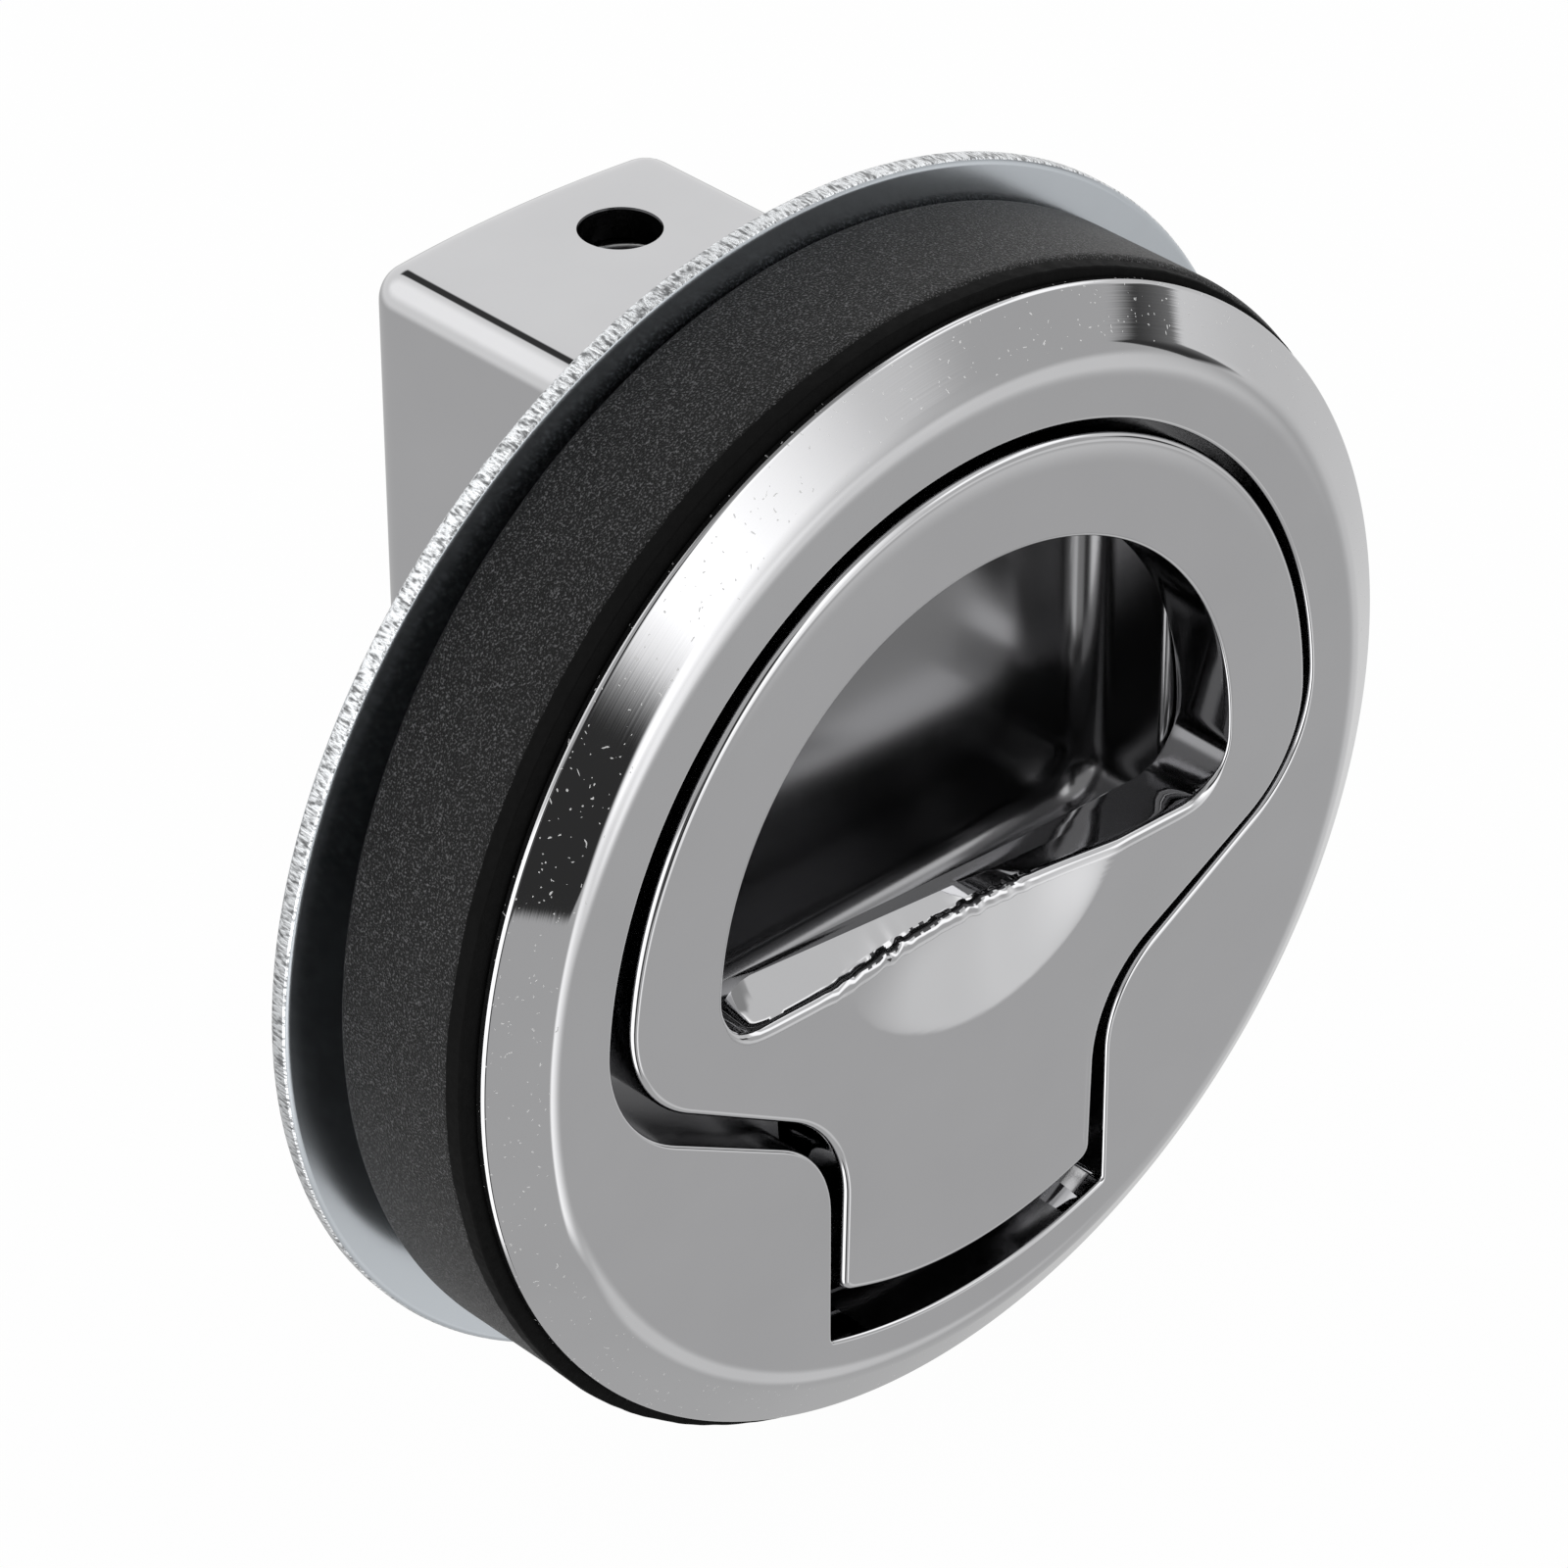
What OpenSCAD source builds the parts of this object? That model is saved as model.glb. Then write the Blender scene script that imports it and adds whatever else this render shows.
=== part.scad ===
// Round flush-pull slam latch for a boat hatch, in millimetres.
// The row frame: +X right and +Z up as seen from the front, and -Y points out of the hatch.
// The origin lies on the latch's axis, in the plane of the panel's front surface.
// Pieces are drawn face up in their own axes, x right, y up the face and z out of the hatch,
// and upright() turns them into the row frame.

/* [Bezel] */
// Outer diameter of the chromed bezel
bezel_d = 62; // [60:0.5:66]
// Diameter of the bezel's flat face, inside the chamfer
face_d = 55.6; // [54.5:0.1:57]
// Height of the sloping chamfer round the face
chamfer_h = 1.9; // [1:0.1:3]
// Height of the plain rim below the chamfer
rim_h = 0.45; // [0.3:0.05:1.2]
// Radius that softens the edge between face and chamfer
face_edge_r = 1.2; // [0.4:0.1:2]

/* [Panel and body] */
// Diameter of the round cut-out in the hatch panel
cutout_d = 54; // [53.8:0.1:55]
// Clearance all round between the body and the cut-out
cutout_gap = 0.5; // [0.3:0.05:0.8]
// Depth of the round body behind the panel's front surface
body_depth = 7.6; // [7.4:0.1:7.8]

/* [Gasket and spacer] */
// Outer diameter of the rubber gasket
gasket_d = 64; // [62.5:0.5:66]
// Thickness of the gasket
gasket_t = 1.05; // [0.8:0.05:1.6]
// Outer diameter of the plastic spacer ring
spacer_d = 63.3; // [61:0.1:65]
// Width of the spacer ring along the axis
spacer_t = 8.2; // [8:0.1:10]
// Chamfer on the spacer ring's outer edges
spacer_edge = 0.4; // [0.2:0.1:0.8]
// Clearance between the body and the rings that slip over it
ring_gap = 0.3; // [0.2:0.05:0.6]

/* [Back plate and screws] */
// Diameter of the steel back plate
plate_d = 67.3; // [66:0.1:70]
// Thickness of the back plate
plate_t = 1.27; // [1:0.01:2]
// Rock of the loosely held plate, whose upper edge lies on the spacer ring
plate_tilt = 3.4; // [2.5:0.1:4]
// Clearance between the plate's window and the box that passes through it
window_gap = 0.6; // [0.5:0.1:1.2]
// Thread diameter of the two clamp screws
screw_d = 4; // [3:0.5:4]
// Length of a clamp screw under its head
screw_len = 8; // [7:0.5:9]
// Diameter of a screw's pan head
screw_head_d = 7.6; // [6.5:0.1:8]
// Height of a screw's pan head
screw_head_h = 2.6; // [2.2:0.1:3]
// Width across the arms of the cross recess in a screw's head
recess_w = 4; // [3:0.1:5]
// Width of one slot of the cross recess
recess_slot = 0.9; // [0.7:0.1:1.1]
// Depth of the cross recess
recess_depth = 1.5; // [1:0.1:1.8]
// Distance of each screw from the latch's axis
screw_x = 21.5; // [21.3:0.1:21.8]
// Clearance round a screw in the plate
screw_gap = 0.4; // [0.3:0.05:0.6]
// Radial clearance of a screw in its tapped hole
thread_gap = 0.05; // [0.02:0.01:0.08]
// Depth of the tapped hole past the screw's tip
tap_spare = 0.8; // [0.5:0.1:1]

/* [Handle opening] */
// Radius of the round top of the handle opening
slot_r = 24.5; // [24:0.1:25]
// Radius of the opening's two lower outer corners
corner_r = 8.15; // [7:0.05:9]
// Slope of the opening's lower edges
arm_slope = 29; // [26:1:32]
// Distance from the axis to the sloping lower edges
arm_reach = 15.04; // [14.5:0.01:15.5]
// Radius of the bend between a sloping edge and the stem
neck_r = 6.3; // [5.5:0.1:7]
// Width of the opening's stem
stem_w = 19.7; // [19:0.1:20.5]
// Distance from the axis to the lower end of the opening
slot_foot = 25.35; // [25.2:0.05:25.5]
// Radius of the curved lower end of the opening
slot_foot_r = 30; // [26:1:34]

/* [Handle] */
// Gap between the handle and the opening, along the sides
handle_gap = 1.1; // [1:0.05:1.3]
// Gap between the handle's heel and the opening's lower end
heel_gap = 2.35; // [2.2:0.05:2.6]
// Radius of the heel's curved end
heel_r = 24; // [22:0.5:28]
// Radius of the heel's two corners
heel_corner_r = 1; // [0.6:0.1:1.4]
// Thickness of the handle's flat plate
handle_t = 3.9; // [3.8:0.05:4.1]
// Clearance between the handle and the floor that it rests on
seat_gap = 0.1; // [0.05:0.01:0.2]
// Radius of the finger hole's round top
hole_r = 17.8; // [17:0.1:18.2]
// Height of the finger hole's centre above the axis
hole_y = 0.4; // [0:0.1:1]
// Distance of the finger hole's straight edge below the axis
hole_foot = 2.4; // [2:0.1:3]
// Radius of the finger hole's lower corners
hole_corner_r = 3; // [2:0.1:4]
// Radius of the round dish scooped below the finger hole, on the face
dish_r = 13; // [11:0.1:14]
// Distance from the axis to the dish's lower end
dish_foot = 6.1; // [5.5:0.1:7]
// Depth of the dish at the finger hole's edge
dish_depth = 1.9; // [1.4:0.1:2.4]

/* [Pivot and lever] */
// Distance from the axis down to the pivot
pivot_y = 20; // [19.8:0.1:20.2]
// Distance of the pivot behind the bezel's face
pivot_depth = 4.4; // [4.3:0.05:4.5]
// Diameter of the pivot pin
pin_d = 3; // [2.6:0.1:3]
// Length of the pivot pin
pin_len = 30; // [28:0.5:30.5]
// Radial clearance of the pivot pin in its bores
pin_gap = 0.05; // [0.02:0.01:0.08]
// Radius of the handle's hub round the pin
hub_r = 3; // [2.8:0.1:3.1]
// Clearance between the hub and the housing's pocket
hub_gap = 0.5; // [0.4:0.1:0.8]
// Swing of the handle from rest to its stop, in degrees
swing = 30; // [24:1:30]
// Distance from the pivot to the centre of the lever's tip
lever_len = 22; // [21.7:0.1:22.3]
// Width of the lever
lever_w = 6; // [5:0.5:7]
// Thickness of the lever's shank
lever_t = 2.6; // [2.2:0.1:2.8]
// Radius of the lever's round tip
tip_r = 1.9; // [1.7:0.1:2]
// Clearance round the lever's tip in the bolt
tip_gap = 0.45; // [0.4:0.05:0.6]

/* [Cup] */
// Radius of the round upper wall of the finger cup
cup_r = 21; // [20:0.1:21.4]
// Distance between the cup's two flat side walls
cup_w = 35.2; // [34.8:0.1:35.6]
// Distance of the cup's lower wall below the axis
cup_foot = 7; // [6:0.1:7.5]
// Radius of the cup's lower corners
cup_corner_r = 3; // [2:0.1:4]
// Thickness of the cup's floor
cup_floor = 1.5; // [1.2:0.1:1.8]

/* [Box] */
// Width of the box behind the body
box_w = 19.5; // [19.2:0.1:19.9]
// Length of the box, up and down
box_l = 49.6; // [49:0.1:50]
// Depth of the box's rear face behind the panel's front surface
box_depth = 31.1; // [31:0.1:32]
// Radius of the box's edges
box_edge_r = 1.9; // [1:0.1:2.2]
// Height of the slight crown on the box's rear face
crown = 0.7; // [0.2:0.1:1]
// Thickness of the box's upper end wall
end_wall = 1.75; // [1.4:0.05:2.2]

/* [Bolt and spring] */
// Width of the bolt
bolt_w = 15.6; // [15:0.1:15.8]
// Thickness of the bolt, front to back
bolt_h = 10; // [9.6:0.1:10]
// Depth of the bolt's centre behind the panel's front surface
bolt_depth = 24.5; // [24.3:0.1:24.6]
// Sliding clearance between the bolt and its channel
bolt_gap = 0.25; // [0.15:0.05:0.3]
// Length of the bolt that stands out of the box at rest
bolt_out = 11.3; // [11.1:0.1:12]
// Thickness of the bolt's nose at its tip
nose_t = 3; // [2:0.1:5]
// Length of the slanting face on the bolt's nose
bevel_l = 7.6; // [6:0.1:8]
// Distance from the axis down to the bolt's inner end
bolt_end = 6.5; // [6:0.1:8]
// Depth of the bolt's pocket past the lever's tip
pocket_spare = 0.4; // [0.3:0.1:0.8]
// Sideways offset of the guide pin from the centre
guide_x = 2.2; // [1.8:0.1:2.6]
// Diameter of the guide pin
guide_d = 3.6; // [3:0.1:3.8]
// Distance above the axis of the guide pin's free end at rest
guide_top = 20; // [18:0.5:20.5]
// Depth of the guide pin's seat in the bolt
guide_seat = 7; // [5:0.5:8]
// Radial clearance of the guide pin in its seat
guide_seat_gap = 0.02; // [0.01:0.01:0.04]
// Radial clearance of the guide pin in the box's end hole
guide_gap = 0.55; // [0.3:0.05:0.7]
// Diameter of the bolt spring's wire
spring_wire = 0.9; // [0.7:0.1:1.1]
// Middle diameter of the bolt spring's coils
spring_d = 7; // [6:0.1:8]
// Number of coils in the bolt spring
spring_turns = 10; // [8:1:12]
// Clearance between the spring's ends and their seats
spring_gap = 0.05; // [0.03:0.01:0.1]

/* [Hidden] */
$fn = 96;
// Number of steps in a drawn arc
arc_n = 20;
// Spare length by which a cut passes a surface
cut = 1;
// Gap left between pieces that lie on each other
touch = 0.03;

bezel_r = bezel_d / 2;
face_r = face_d / 2;
body_r = cutout_d / 2 - cutout_gap;
bezel_back = gasket_t;
chamfer_foot = bezel_back + rim_h;
face_z = chamfer_foot + chamfer_h;
chamfer_angle = atan(chamfer_h / (bezel_r - face_r));
handle_back = face_z - handle_t;
recess_floor = handle_back - seat_gap;
pivot_z = face_z - pivot_depth;
hub_floor = pivot_z - hub_r - hub_gap;
// The hub's pocket reaches far enough up the face for the hub to turn in it
hub_pocket_y = pivot_y - hub_r - 5;
hub_w = stem_w - 2 * handle_gap;
cup_bottom = cup_floor - body_depth;
throw = lever_len * sin(swing);
tip_z = pivot_z - lever_len;
bolt_front = bolt_h / 2 - bolt_depth;
bolt_back = -bolt_h / 2 - bolt_depth;
channel_w = bolt_w + 2 * bolt_gap;
channel_front = bolt_front + bolt_gap;
channel_back = bolt_back - bolt_gap;
pocket_r = tip_r + tip_gap;
box_end = box_l / 2;
box_half_w = box_w / 2;
spring_low = spring_gap - bolt_end;
spring_high = box_end - end_wall - spring_gap;
guide_len = guide_top + bolt_end + guide_seat - touch;
spacer_seat_r = spacer_d / 2 - spacer_edge;
plate_z = -spacer_t - touch - spacer_seat_r * tan(plate_tilt);
head_z = plate_z - plate_t / cos(plate_tilt) - screw_head_d / 2 * tan(plate_tilt) - touch;
tap_top = head_z + screw_len + tap_spare;
// The lever's shaft through the housing leaves room beside the lever and past its swing
shaft_gap = 1;
shaft_low = pivot_y + pocket_r + shaft_gap;

function arc(x, y, r, a0, a1) =
    [for (i = [0:arc_n]) let (a = a0 + (a1 - a0) * i / arc_n) [x + r * cos(a), y + r * sin(a)]];

// Slope direction, the outward normal of the sloping edge, and the fillets' centres
corner_q = sqrt(pow(slot_r - corner_r, 2) - pow(arm_reach - corner_r, 2));
corner_x = (arm_reach - corner_r) * sin(arm_slope) + corner_q * cos(arm_slope);
corner_y = -(arm_reach - corner_r) * cos(arm_slope) + corner_q * sin(arm_slope);
neck_x = stem_w / 2 + neck_r;
neck_y = (neck_x * sin(arm_slope) - arm_reach - neck_r) / cos(arm_slope);

// Right half of the keyhole outline from its top to its foot: gap is how far it lies inside
// the opening, foot its lower end, foot_r that end's radius and toe_r its corner's radius
function half_outline(gap, foot, foot_r, toe_r) =
    let (w = stem_w / 2 - gap)
    let (toe_x = w - toe_r)
    let (toe_y = foot_r - foot - sqrt(pow(foot_r - toe_r, 2) - pow(toe_x, 2)))
    let (toe_a = atan2(toe_y - foot_r + foot, toe_x))
    concat(
        arc(0, 0, slot_r - gap, 90, atan2(corner_y, corner_x)),
        arc(corner_x, corner_y, corner_r - gap, atan2(corner_y, corner_x), arm_slope - 90),
        arc(neck_x, neck_y, neck_r + gap, 90 + arm_slope, 180),
        arc(toe_x, toe_y, toe_r, 0, toe_a),
        arc(0, foot_r - foot, foot_r, toe_a, -90)
    );

module keyhole(gap, foot, foot_r, toe_r) {
    half = half_outline(gap, foot, foot_r, toe_r);
    polygon(half);
    mirror([1, 0]) polygon(half);
}

// D shape: a circle of radius r about (0, y), cut off at -foot and at the half-width w
module d_shape(r, y, foot, corner, w) {
    corner_h = corner - foot;
    corner_w = min(w - corner, sqrt(pow(r - corner, 2) - pow(corner_h - y, 2)));
    intersection() {
        translate([0, y]) circle(r);
        union() {
            translate([-w, corner_h]) square([2 * w, r + y - corner_h + cut]);
            translate([-corner_w, -foot]) square([2 * corner_w, corner + touch]);
            for (side = [-1, 1]) translate([side * corner_w, corner_h]) circle(corner);
        }
    }
}

// Turns a piece drawn face up into the row frame
module upright() {
    rotate([90, 0, 0]) children();
}

// Bar of radius r along x, from -w/2 to w/2
module cross_bar(r, w) {
    rotate([0, 90, 0]) cylinder(r = r, h = w, center = true);
}

module bezel_disc() {
    soft = face_edge_r * tan(chamfer_angle / 2);
    rotate_extrude($fn = 180) polygon(concat(
        [[0, bezel_back], [bezel_r, bezel_back], [bezel_r, chamfer_foot]],
        arc(face_r - soft, face_z - face_edge_r, face_edge_r, 90 - chamfer_angle, 90),
        [[0, face_z]]
    ));
}

// Rounded rectangle of size [a, b] about the origin
module soft_square(a, b, r) {
    square([a - 2 * r, b], center = true);
    square([a, b - 2 * r], center = true);
    for (x = [-1, 1]) for (y = [-1, 1]) translate([x * (a / 2 - r), y * (b / 2 - r)]) circle(r, $fn = 48);
}

// Cross-section of the box seen along y: width a, from depth box_depth with its crowned end
module crowned_square() {
    crown_r = (pow(box_half_w, 2) + pow(crown, 2)) / (2 * crown);
    edge_z = crown - box_depth;
    intersection() {
        translate([0, -box_depth / 2]) soft_square(box_w, box_depth, box_edge_r);
        translate([0, crown_r - box_depth]) circle(crown_r, $fn = 400);
    }
    translate([-box_half_w, edge_z + box_edge_r]) square([box_w, box_depth - crown - 2 * box_edge_r]);
}

module box_block() {
    intersection() {
        translate([0, 0, -box_depth]) linear_extrude(box_depth) soft_square(box_w, box_l, box_edge_r);
        translate([0, box_end, 0]) rotate([90, 0, 0]) linear_extrude(box_l) crowned_square();
        rotate([90, 0, 90]) linear_extrude(box_w, center = true)
            translate([0, -box_depth / 2]) soft_square(box_l, box_depth, box_edge_r);
    }
}

// Shaft for the lever, from the hub's pocket to the bolt's channel
module lever_shaft() {
    w = lever_w + 2 * shaft_gap;
    reach = pivot_y - throw - pocket_r - shaft_gap;
    rotate([90, 0, 90]) linear_extrude(w, center = true) polygon([
        [-shaft_low, hub_floor + cut], [-pivot_y + hub_r + shaft_gap, hub_floor + cut],
        [-pivot_y + hub_r + shaft_gap, hub_floor], [-reach, channel_front - cut],
        [-shaft_low, channel_front - cut]
    ]);
}

module housing() {
    color("silver") upright() difference() {
        union() {
            bezel_disc();
            translate([0, 0, -body_depth]) cylinder(r = body_r, h = body_depth + bezel_back + rim_h, $fn = 180);
            box_block();
        }
        // Recess that the handle lies in
        translate([0, 0, recess_floor]) linear_extrude(face_z - recess_floor + cut)
            keyhole(0, slot_foot, slot_foot_r, 0.3);
        // Deeper pocket for the hub
        translate([0, 0, hub_floor]) linear_extrude(recess_floor - hub_floor + cut) intersection() {
            keyhole(0, slot_foot, slot_foot_r, 0.3);
            translate([-stem_w / 2, -slot_foot - cut]) square([stem_w, slot_foot + cut - hub_pocket_y]);
        }
        // Finger cup
        translate([0, 0, cup_bottom]) linear_extrude(recess_floor - cup_bottom + cut)
            d_shape(cup_r, 0, cup_foot, cup_corner_r, cup_w / 2);
        lever_shaft();
        // Channel that the bolt slides in, open at the lower end
        translate([-channel_w / 2, -box_end - cut, channel_back])
            cube([channel_w, box_l + cut - end_wall, channel_front - channel_back]);
        // Hole for the guide pin in the upper end wall
        translate([guide_x, box_end + cut, -bolt_depth]) rotate([90, 0, 0])
            cylinder(r = guide_d / 2 + guide_gap, h = end_wall + 2 * cut);
        // Bore for the pivot pin, right through the body
        translate([0, -pivot_y, pivot_z]) cross_bar(pin_d / 2 + pin_gap, cutout_d);
        // Tapped holes for the clamp screws
        for (side = [-1, 1]) translate([side * screw_x, 0, -body_depth - cut])
            cylinder(r = screw_d / 2 + thread_gap, h = tap_top + body_depth + cut);
    }
}

module pull_handle() {
    dish_rise = (pow(dish_r, 2) - pow(dish_r - dish_foot + hole_foot, 2) - pow(dish_depth, 2)) / (2 * dish_depth);
    color("gainsboro") upright() difference() {
        union() {
            translate([0, 0, handle_back]) linear_extrude(handle_t)
                keyhole(handle_gap, slot_foot - heel_gap, heel_r, heel_corner_r);
            translate([0, -pivot_y, pivot_z]) cross_bar(hub_r, hub_w);
            // Lever that reaches into the bolt
            translate([-lever_w / 2, -pivot_y - lever_t / 2, tip_z]) cube([lever_w, lever_t, lever_len]);
            translate([0, -pivot_y, tip_z]) cross_bar(tip_r, lever_w);
        }
        // Finger hole
        translate([0, 0, handle_back - cut]) linear_extrude(handle_t + 2 * cut)
            d_shape(hole_r, hole_y, hole_foot, hole_corner_r, hole_r);
        // Dish for the fingertip
        translate([0, dish_r - dish_foot, face_z + dish_rise])
            sphere(r = sqrt(pow(dish_r, 2) + pow(dish_rise, 2)), $fn = 180);
        // Bore for the pivot pin
        translate([0, -pivot_y, pivot_z]) cross_bar(pin_d / 2 + pin_gap, stem_w);
    }
}

module pivot_pin() {
    color("gray") upright() translate([0, -pivot_y, pivot_z]) cross_bar(pin_d / 2, pin_len);
}

module latch_bolt() {
    tip = -box_end - bolt_out;
    pocket_floor = tip_z - tip_r - pocket_spare;
    color("darkgray") upright() difference() {
        rotate([90, 0, 90]) linear_extrude(bolt_w, center = true) polygon([
            [tip, bolt_front], [-bolt_end, bolt_front], [-bolt_end, bolt_back],
            [tip + bevel_l, bolt_back], [tip, bolt_front - nose_t]
        ]);
        // Pocket for the lever's tip
        translate([-lever_w / 2 - tip_gap, -pivot_y - pocket_r, pocket_floor])
            cube([lever_w + 2 * tip_gap, 2 * pocket_r, bolt_front - pocket_floor + cut]);
        // Seat for the guide pin
        translate([guide_x, cut - bolt_end, -bolt_depth]) rotate([90, 0, 0])
            cylinder(r = guide_d / 2 + guide_seat_gap, h = guide_seat + cut);
    }
}

module guide_pin() {
    color("gray") upright() translate([guide_x, guide_top, -bolt_depth]) rotate([90, 0, 0])
        cylinder(r = guide_d / 2, h = guide_len);
}

// Round tube of the given wire swept along a helix about z, from 0 to the given height
module coil(wire, coil_d, turns, height) {
    sides = 8;
    steps = 14 * turns;
    rise = height - wire;
    rings = [for (i = [0:steps], k = [0:sides - 1])
        let (a = 360 * turns * i / steps)
        let (b = 360 * k / sides)
        let (r = coil_d / 2 + wire / 2 * cos(b))
        [r * cos(a), r * sin(a), wire / 2 + rise * i / steps + wire / 2 * sin(b)]];
    walls = [for (i = [0:steps - 1], k = [0:sides - 1])
        let (k2 = (k + 1) % sides)
        [i * sides + k, (i + 1) * sides + k, (i + 1) * sides + k2, i * sides + k2]];
    ends = [[for (k = [0:sides - 1]) k], [for (k = [0:sides - 1]) (steps + 1) * sides - 1 - k]];
    polyhedron(points = rings, faces = concat(walls, ends), convexity = 10);
}

module bolt_spring() {
    color("lightgray") upright() translate([guide_x, spring_high, -bolt_depth]) rotate([90, 0, 0])
        coil(spring_wire, spring_d, spring_turns, spring_high - spring_low);
}

module gasket() {
    color([0.12, 0.12, 0.12]) upright() translate([0, 0, touch]) difference() {
        cylinder(r = gasket_d / 2, h = gasket_t - 2 * touch, $fn = 180);
        translate([0, 0, -cut]) cylinder(r = body_r + ring_gap, h = gasket_t + 2 * cut, $fn = 180);
    }
}

module spacer_ring() {
    bore_r = body_r + ring_gap;
    outer_r = spacer_d / 2;
    color([0.16, 0.16, 0.17]) upright() rotate_extrude($fn = 180) polygon([
        [bore_r, -spacer_t], [spacer_seat_r, -spacer_t], [outer_r, spacer_edge - spacer_t],
        [outer_r, -spacer_edge], [spacer_seat_r, 0], [bore_r, 0]
    ]);
}

module back_plate() {
    color("lightsteelblue") upright() translate([0, 0, plate_z]) rotate([plate_tilt, 0, 0])
        translate([0, 0, -plate_t]) difference() {
            cylinder(r = plate_d / 2, h = plate_t, $fn = 180);
            translate([0, 0, -cut]) linear_extrude(plate_t + 2 * cut)
                soft_square(box_w + 2 * window_gap, box_l + 2 * window_gap, box_edge_r);
            for (side = [-1, 1]) translate([side * screw_x, 0, -cut])
                cylinder(r = screw_d / 2 + screw_gap, h = plate_t + 2 * cut);
        }
}

// Pan-head screw with a cross recess, its head below z = 0 and its shank above
module pan_screw() {
    edge = screw_head_h / 2;
    top_r = screw_head_d / 2 - edge;
    difference() {
        union() {
            cylinder(r = screw_d / 2, h = screw_len);
            rotate_extrude() polygon(concat(
                [[0, -screw_head_h], [top_r, -screw_head_h]],
                arc(top_r, -edge, edge, -90, 0),
                [[screw_head_d / 2, 0], [0, 0]]
            ));
        }
        for (turn = [0, 90]) rotate([0, 0, turn]) translate([-recess_w / 2, -recess_slot / 2, -screw_head_h - cut])
            cube([recess_w, recess_slot, recess_depth + cut]);
    }
}

module left_screw() {
    color("lightsteelblue") upright() translate([-screw_x, 0, head_z]) pan_screw();
}

module right_screw() {
    color("lightsteelblue") upright() translate([screw_x, 0, head_z]) pan_screw();
}

housing();
pull_handle();
pivot_pin();
latch_bolt();
guide_pin();
bolt_spring();
gasket();
spacer_ring();
back_plate();
left_screw();
right_screw();
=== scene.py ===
import math

import bmesh
import bpy
import numpy as np
from mathutils import Matrix


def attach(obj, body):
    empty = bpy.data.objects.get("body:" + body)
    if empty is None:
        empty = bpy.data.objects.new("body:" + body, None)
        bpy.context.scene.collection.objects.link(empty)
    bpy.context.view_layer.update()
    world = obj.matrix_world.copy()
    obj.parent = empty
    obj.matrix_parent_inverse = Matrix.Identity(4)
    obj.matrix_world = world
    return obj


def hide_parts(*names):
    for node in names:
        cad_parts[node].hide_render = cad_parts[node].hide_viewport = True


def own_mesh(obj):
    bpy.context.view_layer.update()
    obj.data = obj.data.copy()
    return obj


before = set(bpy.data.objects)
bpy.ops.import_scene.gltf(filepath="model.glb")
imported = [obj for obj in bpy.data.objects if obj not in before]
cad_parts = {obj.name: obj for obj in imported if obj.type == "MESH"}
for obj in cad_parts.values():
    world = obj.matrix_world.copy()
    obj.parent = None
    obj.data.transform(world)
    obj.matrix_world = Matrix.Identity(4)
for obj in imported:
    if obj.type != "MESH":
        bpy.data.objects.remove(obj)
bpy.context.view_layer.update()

# Housing: one zinc die-casting, polished and chromed. Its round bezel carries the keyhole opening and the
# finger cup, its body fills the round cut-out of the hatch panel, and the bolt slides in the box behind it.
# Sizes are in millimetres on the face's own axes: x right, y up the face and z out of the hatch.
BEZEL_R, FACE_R, FACE_Z = 31.0, 27.8, 3.4
CHAMFER_H, RIM_H, BEZEL_BACK = 1.9, 0.45, 1.05
BODY_R, BODY_DEPTH = 26.5, 7.6
SLOT_R, CORNER_R, NECK_R, STEM_W = 24.5, 8.15, 6.3, 19.7
ARM_SLOPE, ARM_REACH = math.radians(29), 15.04
SLOT_FOOT, SLOT_FOOT_R = 25.35, 30.0
RECESS_Z, CUP_Z = -0.6, -6.1
PIVOT = np.array([0.0, -20.0, -1.0])


def bend(x, y, r, start, end, n):
    """n points evenly along the arc of radius r about (x, y), from start to end, without the last."""
    a = start + (end - start) * np.arange(n) / n
    return np.stack([x + r * np.cos(a), y + r * np.sin(a)], -1)


def straight(p, q, n):
    """n points evenly along the line from p to q, without either end."""
    t = (np.arange(n) + 1)[:, None] / (n + 1)
    return p + (q - p) * t


def both_sides(half):
    """Closed outline from its right half, which runs from the top down to the foot, and its mirror image."""
    return np.concatenate([half, half[-2:0:-1] * [-1, 1]])


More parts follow.
